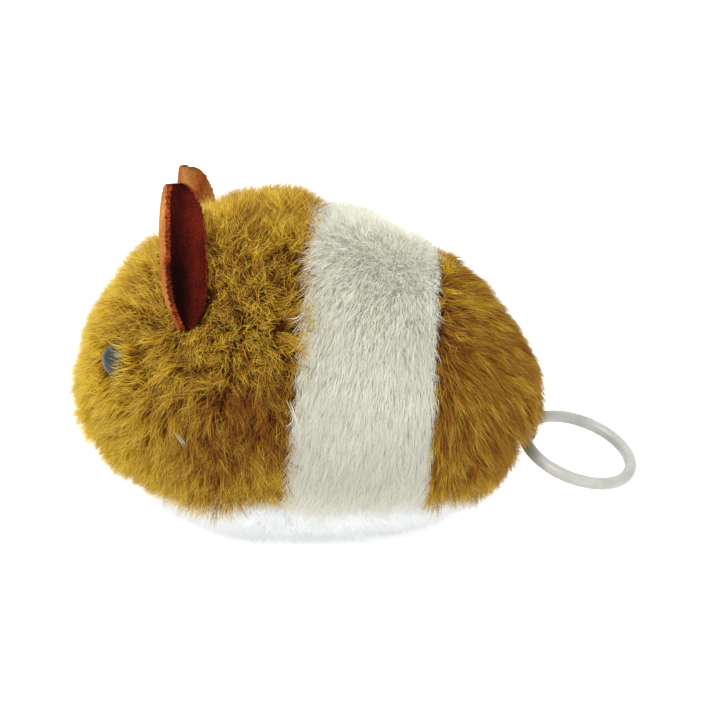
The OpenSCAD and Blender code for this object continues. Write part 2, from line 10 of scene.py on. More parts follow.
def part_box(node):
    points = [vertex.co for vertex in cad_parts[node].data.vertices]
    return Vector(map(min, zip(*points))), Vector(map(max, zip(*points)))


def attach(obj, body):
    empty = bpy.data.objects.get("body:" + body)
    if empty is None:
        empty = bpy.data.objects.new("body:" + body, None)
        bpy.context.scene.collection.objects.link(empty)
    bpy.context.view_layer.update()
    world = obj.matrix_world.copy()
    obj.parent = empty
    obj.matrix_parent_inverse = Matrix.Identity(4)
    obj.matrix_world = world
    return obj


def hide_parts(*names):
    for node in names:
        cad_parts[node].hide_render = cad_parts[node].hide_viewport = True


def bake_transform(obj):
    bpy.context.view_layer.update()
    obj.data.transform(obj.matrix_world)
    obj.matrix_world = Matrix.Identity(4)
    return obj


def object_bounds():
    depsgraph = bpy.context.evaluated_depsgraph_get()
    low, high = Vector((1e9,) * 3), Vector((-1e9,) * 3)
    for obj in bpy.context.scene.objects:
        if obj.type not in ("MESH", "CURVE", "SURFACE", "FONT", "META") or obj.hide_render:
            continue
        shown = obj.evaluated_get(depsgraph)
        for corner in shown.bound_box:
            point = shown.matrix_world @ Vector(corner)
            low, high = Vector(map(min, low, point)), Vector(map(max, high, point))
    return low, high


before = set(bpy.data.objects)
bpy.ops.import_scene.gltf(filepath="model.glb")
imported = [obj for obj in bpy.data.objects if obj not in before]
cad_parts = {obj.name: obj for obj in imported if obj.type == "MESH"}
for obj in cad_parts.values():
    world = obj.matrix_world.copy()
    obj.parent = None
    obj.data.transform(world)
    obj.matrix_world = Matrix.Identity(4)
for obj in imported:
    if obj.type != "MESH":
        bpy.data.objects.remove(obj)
cad_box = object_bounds()

MM = 0.001
UP = np.array((0.0, 0.0, 1.0))
random = np.random.default_rng(7)


# ---------- the body's outline, from the CAD boxes ----------

head_low, head_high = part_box("head_plush")
band_low, band_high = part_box("middle_band_plush")
_, rump_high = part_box("rump_plush")
_, belly_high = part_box("belly_plush")
cord_z = sum(corner[2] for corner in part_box("cord_lead")) / 2
CORD_RADIUS = 0.45 * MM

WAIST_X = -5.0 * MM
WAIST_Z = 27.0 * MM
FRONT_LENGTH = WAIST_X - head_low[0]
REAR_LENGTH = rump_high[0] - WAIST_X
HALF_WIDTH = band_high[1]
TOP_HEIGHT = head_high[2] - WAIST_Z
BOTTOM_DEPTH = 28.0 * MM
SQUARE_PLAN = 2.2
SQUARE_TOP_FRONT = 1.85
SQUARE_TOP_REAR = 1.6
SQUARE_LOW_FRONT = 1.8
SQUARE_LOW_REAR = 2.4

BELLY_SEAM_Z = (belly_high[2] + band_low[2]) / 2
HEAD_SEAM_X = -3.8 * MM
HEAD_SEAM_LEAN = 5.5  # degrees
RUMP_SEAM_X = 20.3 * MM
RUMP_SEAM_LEAN = 1.5
SEAM_GAP = 0.15 * MM

SKIN_OUTER = 4.4 * MM  # depths below the body's outline, down to ROOT_INSET
SKIN_INNER = 7.3 * MM
ROOT_INSET = 4.7 * MM
FARTHEST = 80 * MM  # longer than any line from inside the body to its outline
HALVINGS = 26


def side_square(p):
    """How square the side outline is in each point's own quarter, where 2 is an ellipse."""
    front = p[..., 0] < WAIST_X
    top = np.where(front, SQUARE_TOP_FRONT, SQUARE_TOP_REAR)
    low = np.where(front, SQUARE_LOW_FRONT, SQUARE_LOW_REAR)
    return np.where(p[..., 2] > WAIST_Z, top, low)


def body_level(p, inset):
    """Below 1 inside the body, 1 on its skin, with the body shrunk by inset."""
    length = np.where(p[..., 0] < WAIST_X, FRONT_LENGTH, REAR_LENGTH) - inset
    height = np.where(p[..., 2] > WAIST_Z, TOP_HEIGHT, BOTTOM_DEPTH) - inset
    u = np.abs(p[..., 0] - WAIST_X) / length
    v = np.abs(p[..., 2] - WAIST_Z) / height
    w = np.abs(p[..., 1]) / (HALF_WIDTH - inset)
    square = side_square(p)
    return (u**square + v**square) ** (SQUARE_PLAN / square) + w**SQUARE_PLAN


def skin_points(origins, directions, inset):
    """Where lines from origins along directions meet the skin, by halving."""
    low = np.zeros(directions.shape[:-1])
    high = low + FARTHEST
    for _ in range(HALVINGS):
        middle = (low + high) / 2
        inside = body_level(origins + middle[..., None] * directions, inset) < 1
        low = np.where(inside, middle, low)
        high = np.where(inside, high, middle)
    return origins + low[..., None] * directions


def unit(v):
    return v / np.maximum(np.linalg.norm(v, axis=-1, keepdims=True), 1e-12)


def dot(a, b):
    return np.sum(a * b, axis=-1, keepdims=True)


def clip01(value):
    return np.clip(value, 0, 1)


def lune_grid(corner, turn_from, turn_to, rows, columns):
    """Directions from a corner on the seam, round the Y axis in rows and across in columns."""
    turn = np.radians(np.linspace(turn_from, turn_to, rows + 1))[:, None]
    arc = np.radians(np.linspace(-90, 90, columns + 1))[None, :]
    across = np.sin(arc) + 0 * turn
    directions = np.stack((-np.cos(arc) * np.cos(turn), across, np.cos(arc) * np.sin(turn)), -1)
    return np.broadcast_to(np.array(corner), directions.shape), directions


def band_grid(rows, columns):
    """Directions for the middle band, from station to station between its two seams."""
    share = np.linspace(0, 1, rows + 1)[:, None]
    turn = np.radians(np.linspace(0, 180, columns + 1))[None, :]
    lean = np.radians(HEAD_SEAM_LEAN + (RUMP_SEAM_LEAN - HEAD_SEAM_LEAN) * share)
    first = HEAD_SEAM_X + SEAM_GAP
    last = RUMP_SEAM_X - SEAM_GAP
    along = first + (last - first) * share + 0 * turn
    origins = np.stack((along, 0 * along, 0 * along + BELLY_SEAM_Z + SEAM_GAP), -1)
    directions = np.stack(
        (np.sin(lean) * np.sin(turn), -np.cos(turn) + 0 * lean, np.cos(lean) * np.sin(turn)), -1
    )
    return origins, directions


def panel_grids(rows, columns):
    """Each panel's origins and directions, which meet the skin in a grid that covers the panel."""
    above = BELLY_SEAM_Z + SEAM_GAP
    below = BELLY_SEAM_Z - SEAM_GAP
    return {
        "head": lune_grid((HEAD_SEAM_X - SEAM_GAP, 0, above), 0, 90 + HEAD_SEAM_LEAN, rows, columns),
        "band": band_grid(rows // 2, columns),
        "rump": lune_grid((RUMP_SEAM_X + SEAM_GAP, 0, above), 90 + RUMP_SEAM_LEAN, 180, rows, columns),
        "belly": lune_grid((2 * MM, 0, below), 180, 360, 2 * rows, columns),
    }


# ---------- the pocket where the ring and the cord enter the rump ----------

RING_ROLL = 21.0  # degrees
RING_DROOP = 17.5
_, eyelet_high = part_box("tail_eyelet")
POCKET_FLOOR_X = eyelet_high[0] - 0.8 * MM
POCKET_HALF = 6.8 * MM
POCKET_RADIUS = 2.3 * MM
POCKET_EDGE = 2.2 * MM
POCKET_FRONT_X = 25 * MM


def pocket_distance(p):
    """Distance from the long middle line of the ring's pocket, seen along X."""
    roll = math.radians(RING_ROLL)
    y = p[..., 1] * math.cos(roll) + (p[..., 2] - cord_z) * math.sin(roll)
    z = (p[..., 2] - cord_z) * math.cos(roll) - p[..., 1] * math.sin(roll)
    return np.hypot(np.maximum(np.abs(y) - POCKET_HALF, 0), z)


def press_pocket(p, floor_x):
    """Pushes points of the rump's skin in to floor_x inside the pocket, with a soft edge."""
    share = clip01((pocket_distance(p) - POCKET_RADIUS) / POCKET_EDGE)
    share = share * share * (3 - 2 * share)
    near = p[..., 0] > POCKET_FRONT_X
    pressed = np.minimum(p[..., 0], floor_x + share * (p[..., 0] - floor_x))
    result = p.copy()
    result[..., 0] = np.where(near, pressed, p[..., 0])
    return result


# ---------- mesh helpers ----------

def new_object(name, data):
    obj = bpy.data.objects.new(name, data)
    bpy.context.scene.collection.objects.link(obj)
    return obj


def mesh_object(name, points, faces):
    mesh = bpy.data.meshes.new(name)
    mesh.from_pydata([tuple(p) for p in points], [], faces)
    mesh.update()
    for face in mesh.polygons:
        face.use_smooth = True
    return new_object(name, mesh)


def weld(obj, distance=0.002 * MM):
    """Joins points that lie together and turns every face outwards."""
    work = bmesh.new()
    work.from_mesh(obj.data)
    bmesh.ops.remove_doubles(work, verts=work.verts, dist=distance)
    bmesh.ops.dissolve_degenerate(work, edges=work.edges, dist=distance)
    bmesh.ops.recalc_face_normals(work, faces=work.faces)
    for face in work.faces:
        face.smooth = True
    work.to_mesh(obj.data)
    work.free()
    obj.data.update()


def shell_faces(rows, columns):
    """Faces of a closed shell: an outer grid, an inner grid and the rim between them."""
    def index(layer, i, j):
        return (layer * (rows + 1) + i) * (columns + 1) + j

    faces = []
    for i in range(rows):
        for j in range(columns):
            square = ((i, j), (i, j + 1), (i + 1, j + 1), (i + 1, j))
            outer = [index(0, *corner) for corner in square]
            inner = [index(1, *square[k]) for k in (0, 3, 2, 1)]
            faces += [outer, inner]
    edges = []
    for j in range(columns):
        edges += [((0, j + 1), (0, j)), ((rows, j), (rows, j + 1))]
    for i in range(rows):
        edges += [((i, 0), (i + 1, 0)), ((i + 1, columns), (i, columns))]
    for start, end in edges:
        faces.append([index(0, *start), index(0, *end), index(1, *end), index(1, *start)])
    return faces


OUTER_FACE, INNER_FACE, CUT_EDGE = range(3)


def shell_object(name, outer, inner, materials):
    """A closed shell. With three materials they go to its outer face, inner face and edge."""
    rows, columns = outer.shape[0] - 1, outer.shape[1] - 1
    points = np.concatenate((outer.reshape(-1, 3), inner.reshape(-1, 3)))
    obj = mesh_object(name, points, shell_faces(rows, columns))
    for material in materials:
        obj.data.materials.append(material)
    if len(materials) == 3:
        flat = 2 * rows * columns
        kinds = np.full(len(obj.data.polygons), CUT_EDGE)
        kinds[:flat:2] = OUTER_FACE
        kinds[1:flat:2] = INNER_FACE
        obj.data.polygons.foreach_set("material_index", kinds)
    weld(obj)
    return obj


def tube(name, route, radius, material, sides=12, closed=False):
    """A round tube along route, which is a list of points. A closed route ends where it starts."""
    route = np.array(route)
    count = len(route)
    if closed:
        along = unit(np.roll(route, -1, 0) - np.roll(route, 1, 0))
    else:
        along = unit(np.gradient(route, axis=0))
    side = np.zeros_like(route)
    hint = np.array((0.0, 1.0, 0.0)) if abs(along[0][1]) < 0.9 else UP
    for i in range(count):
        side[i] = unit(hint - along[i] * np.dot(hint, along[i]))
        hint = side[i]
    other = np.cross(along, side)
    angles = np.linspace(0, 2 * math.pi, sides, endpoint=False)
    rings = route[:, None] + radius * (
        np.cos(angles)[None, :, None] * side[:, None] + np.sin(angles)[None, :, None] * other[:, None]
    )
    faces = []
    for i in range(count if closed else count - 1):
        for k in range(sides):
            here, there = i * sides, (i + 1) % count * sides
            faces.append([here + k, here + (k + 1) % sides, there + (k + 1) % sides, there + k])
    if not closed:
        faces.append(list(range(sides))[::-1])
        faces.append([(count - 1) * sides + k for k in range(sides)])
    obj = mesh_object(name, rings.reshape(-1, 3), faces)
    obj.data.materials.append(material)
    weld(obj)
    return obj


# ---------- material helpers ----------

def srgb(red, green, blue):
    """Linear colour of an sRGB colour given from 0 to 255."""
    def linear(value):
        value /= 255
        return value / 12.92 if value <= 0.04045 else ((value + 0.055) / 1.055) ** 2.4

    return (linear(red), linear(green), linear(blue), 1.0)


class Build:
    """A material under construction: its tree, its shader and short ways to add nodes."""

    def __init__(self, name, **shader_values):
        self.material = bpy.data.materials.new(name)
        self.material.use_nodes = True
        self.tree = self.material.node_tree
        self.shader = self.tree.nodes["Principled BSDF"]
        for key, value in shader_values.items():
            self.shader.inputs[key.replace("_", " ")].default_value = value

    def add(self, kind, links=None, **settings):
        made = self.tree.nodes.new("ShaderNode" + kind)
        for key, value in settings.items():
            if key in made.inputs:
                made.inputs[key].default_value = value
            else:
                setattr(made, key, value)
        for key, source in (links or {}).items():
            self.tree.links.new(source, made.inputs[key])
        return made

    def position(self, stretch=(1, 1, 1)):
        """Places on the object in millimetres, stretched by the given factors."""
        coordinate = self.add("TexCoord")
        mapping = self.add("Mapping", {"Vector": coordinate.outputs["Object"]})
        mapping.inputs["Scale"].default_value = [factor / MM for factor in stretch]
        return mapping.outputs["Vector"]

    def noise(self, size, detail=3.0, stretch=(1, 1, 1)):
        """Noise whose features are about size millimetres."""
        made = self.add("TexNoise", {"Vector": self.position(stretch)}, Scale=1 / size, Detail=detail)
        return made.outputs["Fac"]

    def ramp(self, source, stops):
        made = self.add("ValToRGB", {"Fac": source})
        elements = made.color_ramp.elements
        elements[0].position, elements[0].color = stops[0]
        elements[1].position, elements[1].color = stops[-1]
        for place, colour in stops[1:-1]:
            elements.new(place).color = colour
        return made.outputs["Color"]

    def mix(self, factor, first, second, blend_type="MIX"):
        made = self.add("Mix", data_type="RGBA", blend_type=blend_type)
        for key, value in (("Factor", factor), ("A", first), ("B", second)):
            socket = [s for s in made.inputs if s.name == key and s.enabled][0]
            if isinstance(value, bpy.types.NodeSocket):
                self.tree.links.new(value, socket)
            else:
                socket.default_value = value
        return [s for s in made.outputs if s.enabled][0]

    def colour(self, source):
        self.tree.links.new(source, self.shader.inputs["Base Color"])

    def mottle(self, dark, light, size, detail=3.0, stretch=(1, 1, 1), edge=0.3):
        """Colours the piece in soft patches, of two colours and about size millimetres."""
        patches = self.noise(size, detail, stretch)
        self.colour(self.ramp(patches, [(edge, dark), (1 - edge, light)]))

    def bump(self, height, strength, distance):
        made = self.add("Bump", {"Height": height}, Strength=strength, Distance=distance)
        self.tree.links.new(made.outputs["Normal"], self.shader.inputs["Normal"])


# ---------- materials ----------

def fur_material(name, dark, light, painted_light, glow):
    """Pile fibres: dark and light are each a list of colours from root to tip. The fibre's own
    shade, in the first UV coordinate, picks between them. The colour after them is that of a
    painted glow, an emission that stands in for the light that finds its way down between the
    fibres, and glow is how strong it is."""
    # painted glow: an emission that stands in for light scattered down between the fibres
    painted_glow = {"Emission_Color": painted_light, "Emission_Strength": glow}
    build = Build(name, Roughness=0.8, Specular_IOR_Level=0.03, **painted_glow)
    uv = build.add("UVMap", uv_map="OFBake")
    parts = build.add("SeparateXYZ", {"Vector": uv.outputs["UV"]})
    dark_ramp = build.ramp(parts.outputs["Y"], dark)
    light_ramp = build.ramp(parts.outputs["Y"], light)
    build.colour(build.mix(parts.outputs["X"], dark_ramp, light_ramp))
    return build.material


def skin_material(name, dark, light):
    """The knitted backing that the pile grows from."""
    build = Build(name, Roughness=0.9, Specular_IOR_Level=0.1)
    build.mottle(dark, light, 1.2)
    build.bump(build.noise(0.4), 0.5, 0.2 * MM)
    return build.material


def ear_material(name, dark, light, streak=(1, 1, 0.25), speck=0.25, with_painted_shadow=False):
    """Felted ear cloth: mottled, streaked along the ear, with a fine nap. On request it is also
    painted darker deep in the fold, a painted shadow read from an attribute of the ear's points.
    """
    build = Build(name, Roughness=0.95, Specular_IOR_Level=0.06)
    broad = build.ramp(build.noise(4.0, 5.0, streak), [(0.35, dark), (0.65, light)])
    low = (1 - speck, 1 - speck, 1 - speck, 1)
    high = (1 + 0.6 * speck, 1 + 0.55 * speck, 1 + 0.5 * speck, 1)
    fleck = build.ramp(build.noise(0.35, 2.0), [(0.35, low), (0.65, high)])
    cloth = build.mix(1.0, broad, fleck, "MULTIPLY")
    if with_painted_shadow:
        # painted shadow: the cloth painted darker deep in the fold, where shade falls
        shadow_in_fold = build.add("Attribute", attribute_name="shadow_in_fold")
        deep = build.ramp(shadow_in_fold.outputs["Fac"], [(0.0, (1, 1, 1, 1)), (1.0, (0.12, 0.2, 0.22, 1))])
        cloth = build.mix(1.0, cloth, deep, "MULTIPLY")
    build.colour(cloth)
    build.bump(build.noise(0.3, 4.0), 0.6, 0.15 * MM)
    return build.material


def plastic(name, colour, roughness=0.4, grain=0.5, **values):
    """Moulded plastic: a slight drift of shade and a fine texture from the mould."""
    build = Build(name, Roughness=roughness, **values)
    darker = tuple(0.86 * part for part in colour[:3]) + (1.0,)
    build.mottle(darker, colour, 6.0, 4.0, edge=0.35)
    build.bump(build.noise(0.25, 2.0), 0.15 * grain, 0.05 * MM)
    return build.material


def metal(name, colour, roughness=0.3, stretch=(1, 1, 6)):
    """Turned or rolled metal with fine marks along it."""
    build = Build(name, Roughness=roughness, Metallic=1.0)
    darker = tuple(0.7 * part for part in colour[:3]) + (1.0,)
    build.mottle(darker, colour, 0.6, 5.0, stretch)
    build.bump(build.noise(0.3, 3.0, stretch), 0.2, 0.03 * MM)
    return build.material


def cord_material():
    """A twisted white cord: bands that run aslant round it."""
    build = Build("cord", Roughness=0.6, Sheen_Weight=0.2)
    wave = build.add("TexWave", {"Vector": build.position()}, Scale=0.55, Distortion=0.4)
    wave.bands_direction = "DIAGONAL"
    stops = [(0.2, srgb(112, 112, 105)), (0.8, srgb(158, 158, 150))]
    build.colour(build.ramp(wave.outputs["Fac"], stops))
    build.bump(wave.outputs["Fac"], 0.5, 0.1 * MM)
    return build.material


def root_to_tip(*rows):
    """A fibre's colours: each row has a place from 0 to 1, then red, green and blue."""
    return [(place, srgb(*colour)) for place, *colour in rows]


BROWN_DARK = root_to_tip((0, 50, 16, 18), (0.3, 82, 34, 26), (0.6, 100, 46, 24), (1, 142, 94, 28))
BROWN_LIGHT = root_to_tip((0, 66, 28, 20), (0.3, 120, 80, 16), (0.6, 194, 156, 16), (1, 242, 220, 104))
IVORY_DARK = root_to_tip((0, 178, 175, 158), (0.5, 180, 178, 162), (1, 182, 180, 165))
IVORY_LIGHT = root_to_tip((0, 196, 193, 178), (0.5, 204, 202, 188), (1, 212, 211, 200))
WHITE_DARK = root_to_tip((0, 218, 220, 219), (0.5, 226, 228, 228), (1, 232, 234, 235))
WHITE_LIGHT = root_to_tip((0, 228, 230, 230), (0.5, 236, 238, 239), (1, 243, 244, 246))

# The last two values of each are a painted glow, colour and strength: an emission that stands in for
# light scattered down between the fibres.
fur_materials = {
    "brown_plush": fur_material("brown_plush", BROWN_DARK, BROWN_LIGHT, srgb(120, 70, 30), 0.18),
    "ivory_plush": fur_material("ivory_plush", IVORY_DARK, IVORY_LIGHT, srgb(206, 207, 194), 0.25),
    "white_plush": fur_material("white_plush", WHITE_DARK, WHITE_LIGHT, srgb(226, 227, 225), 0.23),
}
skin_materials = {
    "brown_plush": skin_material("brown_backing", srgb(50, 20, 12), srgb(84, 42, 18)),
    "ivory_plush": skin_material("ivory_backing", srgb(222, 220, 203), srgb(234, 232, 216)),
    "white_plush": skin_material("white_backing", srgb(226, 226, 220), srgb(238, 238, 234)),
}

PANELS = {  # the node that each panel's skin replaces, and its material slot
    "head": ("head_plush", "brown_plush"),
    "band": ("middle_band_plush", "ivory_plush"),
    "rump": ("rump_plush", "brown_plush"),
    "belly": ("belly_plush", "white_plush"),
}


# ---------- skins ----------

def build_skin(panel, origins, directions):
    node, slot = PANELS[panel]
    outer = skin_points(origins, directions, SKIN_OUTER)
    inner = skin_points(origins, directions, SKIN_INNER)
    if panel == "rump":
        outer = press_pocket(outer, POCKET_FLOOR_X)
        inner = press_pocket(inner, POCKET_FLOOR_X - POCKET_EDGE)
    skin = shell_object(panel + "_skin", outer, inner, [skin_materials[slot]])
    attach(skin, "body")
    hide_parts(node)


# ---------- ears ----------

EAR_FRONT_CURL = 110.0  # degrees, like its rear curl and its yaw
EAR_REAR_CURL = 38.0
EAR_YAW = 20.0
EAR_LEAN = 7.5 * MM
EAR_FORWARD = 1.3 * MM
EAR_FRONT_RADIUS = 4.3 * MM
EAR_REAR_RADIUS = 6.5 * MM
EAR_FRONT_WIDEST = 0.42  # a share of the ear's height, as are the next four
EAR_FRONT_FOOT = 0.04
EAR_FRONT_FALL = 0.66
EAR_REAR_WIDEST = 0.48
EAR_REAR_RISE = 0.483
EAR_REAR_FALL = 0.523
EAR_ROUNDNESS = 2.4  # 2 would round the rim like an ellipse
EAR_THICKNESS = 1.3 * MM
EAR_ROWS = 110
EAR_COLUMNS = 90

ear_low, ear_high = (np.array(corner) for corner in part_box("ear_left"))
EAR_HEIGHT = ear_high[2] - ear_low[2]


def ear_front_share(t):
    """Share of its full width that the ear's front half has at height t, from 0 to 1."""
    lower = np.clip(t, 0, EAR_FRONT_WIDEST) + EAR_FRONT_FOOT
    rising = np.sin(np.radians(90 * lower / (EAR_FRONT_WIDEST + EAR_FRONT_FOOT))) ** 0.9
    fall = clip01((t - EAR_FRONT_WIDEST) / EAR_FRONT_FALL)
    return np.where(t < EAR_FRONT_WIDEST, rising, (1 - fall**EAR_ROUNDNESS) ** (1 / EAR_ROUNDNESS))


def ear_rear_share(t):
    above = t - EAR_REAR_WIDEST
    away = np.where(above < 0, -above / EAR_REAR_RISE, above / EAR_REAR_FALL)
    return (1 - clip01(away) ** EAR_ROUNDNESS) ** (1 / EAR_ROUNDNESS)


def ear_middle(t, s):
    """Middle surface of the folded ear: t runs up it from 0 to 1 and s from -1 at its front rim
    to 1 at its rear rim."""
    rear = s > 0
    angle = np.abs(s) * np.radians(np.where(rear, EAR_REAR_CURL, EAR_FRONT_CURL))
    radius = np.where(rear, EAR_REAR_RADIUS * ear_rear_share(t), EAR_FRONT_RADIUS * ear_front_share(t))
    yaw = math.radians(EAR_YAW)
    x = np.sign(s) * radius * np.sin(angle)
    y = -radius * (1 - np.cos(angle))
    along = x * math.cos(yaw) - y * math.sin(yaw) - EAR_FORWARD * t
    across = x * math.sin(yaw) + y * math.cos(yaw) + EAR_LEAN * t
    return np.stack((along, across, EAR_HEIGHT * t + 0 * s), -1)


def ear_surfaces():
    """The outer and inner skins of the left ear, moved to where the CAD ear stands."""
    t = np.linspace(0, 1, EAR_ROWS + 1)[:, None]
    s = np.linspace(-1, 1, EAR_COLUMNS + 1)[None, :]
    middle = ear_middle(t, s)
    along = ear_middle(t, s + 0.01) - ear_middle(t, s - 0.01)
    inwards = unit(np.stack((along[..., 1], -along[..., 0], 0 * along[..., 0]), -1))
    wave = 0.12 * MM * np.sin(9 * t + 4 * s) * np.abs(s)
    rim = np.maximum(np.abs(s) + 0 * t, 2 * t - 1)
    ragged = 0.09 * MM * random.normal(size=rim.shape) * rim**10
    half = EAR_THICKNESS / 2 * (1 - 0.2 * rim**14)
    outer = middle + (wave - half - ragged)[..., None] * inwards
    inner = middle + (wave + half + ragged)[..., None] * inwards
    frayed = 0.10 * MM * random.normal(size=rim.shape) * rim**30
    rimwards = unit(np.sign(s + 0 * t)[..., None] * along)
    outer += frayed[..., None] * rimwards
    inner += frayed[..., None] * rimwards
    outer[..., 2] -= 0.5 * np.abs(frayed)
    points = np.concatenate((outer.reshape(-1, 3), inner.reshape(-1, 3)))
    shift = (ear_low + ear_high) / 2 - (points.min(0) + points.max(0)) / 2
    return outer + shift, inner + shift, shift


ear_outer, ear_inner, ear_shift = ear_surfaces()


def to_ear(points):
    """Points as the left ear sees them: across it, into its fold, and their share of its height."""
    local = points.copy()
    local[:, 1] = -np.abs(local[:, 1])
    local -= ear_shift
    t = local[:, 2] / EAR_HEIGHT
    x = local[:, 0] + EAR_FORWARD * t
    y = local[:, 1] - EAR_LEAN * t
    yaw = math.radians(EAR_YAW)
    return x * math.cos(yaw) + y * math.sin(yaw), y * math.cos(yaw) - x * math.sin(yaw), t


def in_ear_fold(points):
    """Which points lie in the hollow of either ear's front fold, or in the cloth of its rear."""
    across, deep, t = to_ear(points)
    held = clip01(t)
    front = EAR_FRONT_RADIUS * ear_front_share(held)
    rear = EAR_REAR_RADIUS * ear_rear_share(held)
    hollow = np.hypot(across, deep + front) < front + 0.5 * EAR_THICKNESS
    flap = np.abs(np.hypot(across, deep + rear) - rear) < 0.5 * EAR_THICKNESS
    flap &= (across > 0) & (across < rear * math.sin(math.radians(EAR_REAR_CURL)))
    return (t > 0) & (t < 1) & (hollow | flap)


def press_behind_ears(roots, points):
    """Moves points of the fibres that grow behind an ear's rear half to the back of its cloth."""
    root_across, root_deep, _ = to_ear(roots)
    across, deep, t = to_ear(points)
    rear = EAR_REAR_RADIUS * ear_rear_share(clip01(t))
    behind = np.hypot(root_across, root_deep + rear) > rear
    apart = np.maximum(np.hypot(across, deep + rear), 0.1 * MM)
    short = np.maximum(rear + 0.75 * EAR_THICKNESS - apart, 0)
    beside = (across > 0) & (across < rear * math.sin(math.radians(EAR_REAR_CURL + 8)))
    near = behind & beside & (t > 0) & (t < 1) & (short < 3 * MM)
    push = np.where(near, short / apart, 0)
    yaw = math.radians(EAR_YAW)
    step_x = push * (across * math.cos(yaw) - (deep + rear) * math.sin(yaw))
    step_y = push * (across * math.sin(yaw) + (deep + rear) * math.cos(yaw))
    points[:, 0] += step_x
    points[:, 1] += np.where(points[:, 1] > 0, -step_y, step_y)


def painted_fold_shade():
    """Painted shadow in the ear's fold: how much darker the ear is painted at each point of its
    grid, most inside the fold, where shade falls, and less at the top.
    """
    t = np.linspace(0, 1, EAR_ROWS + 1)[:, None]
    s = np.linspace(-1, 1, EAR_COLUMNS + 1)[None, :]
    low = clip01((0.85 - t) / 0.45)
    return low * np.exp(-(((s + 0.3 - 0.2 * t) / (0.62 - 0.3 * t)) ** 2))


def build_ear(name, node, side, materials):
    ear = shell_object(name, ear_outer, ear_inner, materials)
    if side > 0:
        ear.data.transform(Matrix.Diagonal((1, -1, 1, 1)))
        ear.data.flip_normals()
    # the painted shadow of the fold, one value on each of the ear's points
    painted_light = ear.data.attributes.new("shadow_in_fold", "FLOAT", "POINT")
    places = np.tile(painted_fold_shade().reshape(-1), 2)
    painted_light.data.foreach_set("value", places.astype(np.float32))
    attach(ear, "body")
    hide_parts(node)


ear_materials = [
    ear_material("ear_outer_cloth", srgb(122, 58, 18), srgb(166, 114, 60)),
    # the inner cloth carries the painted shadow of the fold
    ear_material("ear_inner_cloth", srgb(42, 7, 4), srgb(80, 19, 9), speck=0.4, with_painted_shadow=True),
    ear_material("ear_cut_edge", srgb(58, 14, 8), srgb(138, 58, 22), (1, 1, 1), speck=0.7),
]
build_ear("ear_left_cloth", "ear_left", -1, ear_materials)
build_ear("ear_right_cloth", "ear_right", 1, ear_materials)


# ---------- fur ----------

FIBRES_PER_SQUARE_MM = {"head": 13.0, "band": 17.0, "rump": 14.0, "belly": 12.0}
FIBRES_A_PIECE = 19900
FIBRE_WIDTHS = (0.08, 0.14)
FLOOR_CLEARANCE = 0.08 * MM
SLOPE_STEP = 0.05 * MM


def spread_roots(origins, directions, density):
    """Random places on a panel's backing, evenly by area, with the outward normal at each."""
    grid = skin_points(origins, directions, ROOT_INSET)
    a, b = grid[:-1, :-1].reshape(-1, 3), grid[:-1, 1:].reshape(-1, 3)
    c, d = grid[1:, 1:].reshape(-1, 3), grid[1:, :-1].reshape(-1, 3)
    corners = np.concatenate((np.stack((a, b, c), 1), np.stack((a, c, d), 1)))
    cross = np.cross(corners[:, 1] - corners[:, 0], corners[:, 2] - corners[:, 0])
    area = np.linalg.norm(cross, axis=1) / 2
    count = int(area.sum() / (MM * MM) * density)
    chosen = random.choice(len(area), count, p=area / area.sum())
    s, t = random.random((2, count, 1))
    over = s + t > 1
    s, t = np.where(over, 1 - s, s), np.where(over, 1 - t, t)
    corner = corners[chosen]
    roots = corner[:, 0] + s * (corner[:, 1] - corner[:, 0]) + t * (corner[:, 2] - corner[:, 0])
    return roots, skin_normals(roots)


def level_rise(p, inset):
    """How much the body's level rises over two short steps along X, Y and Z."""
    steps = SLOPE_STEP * np.eye(3)
    return np.stack([body_level(p + step, inset) - body_level(p - step, inset) for step in steps], -1)


def skin_normals(p):
    """The direction in which the body's level rises fastest."""
    return unit(level_rise(p, ROOT_INSET))


def trim(points, spare):
    """Presses points that stand more than spare outside the body's skin back to it."""
    slope = level_rise(points, 0) / (2 * SLOPE_STEP)
    steepness = np.linalg.norm(slope, axis=1, keepdims=True)
    over = (body_level(points, 0)[:, None] - 1) / steepness - spare
    return points - np.maximum(over, 0) * slope / steepness


SEAM_WIDTH = 1.7 * MM
HEM_HEIGHT = 6 * MM
HEM_MIDDLE_X = -17 * MM


def seam_share(p):
    """1 on the two seams round the body, falling away to both sides."""
    up = p[:, 2] - BELLY_SEAM_Z
    head_seam = HEAD_SEAM_X + math.tan(math.radians(HEAD_SEAM_LEAN)) * up
    rump_seam = RUMP_SEAM_X + math.tan(math.radians(RUMP_SEAM_LEAN)) * up
    near = np.minimum(np.abs(p[:, 0] - head_seam), np.abs(p[:, 0] - rump_seam))
    return np.exp(-((near / SEAM_WIDTH) ** 2)) * (up > 0)


def hem_share(p):
    """1 at the lower edge of the upper panels, falling to 0 a little way up."""
    return clip01((BELLY_SEAM_Z + HEM_HEIGHT - p[:, 2:3]) / HEM_HEIGHT)


def hem_middle(p):
    """1 where the head's fringe hangs longest, falling to 0 at its seam and at the nose."""
    return np.exp(-(((p[:, 0:1] - HEM_MIDDLE_X) / (6 * MM)) ** 2))


def head_lie(p):
    """The pile on the head: back by its seam, forwards on the muzzle, and down on the sides."""
    forward = clip01((-18 * MM - p[:, 0:1]) / (20 * MM))
    rearward = clip01((p[:, 0:1] + 18 * MM) / (8 * MM))
    low = clip01((30 * MM - p[:, 2:3]) / (20 * MM))
    high = clip01((p[:, 2:3] - 34 * MM) / (12 * MM))
    down = -0.45 * (1 - high) - 0.35 * low - 0.6 * hem_share(p)
    lifted = hem_share(p) * (1 - hem_middle(p))
    down = down * (1 - lifted) + 0.6 * lifted
    return np.concatenate((0.3 * rearward - 0.5 * forward, 0 * forward, down), 1)


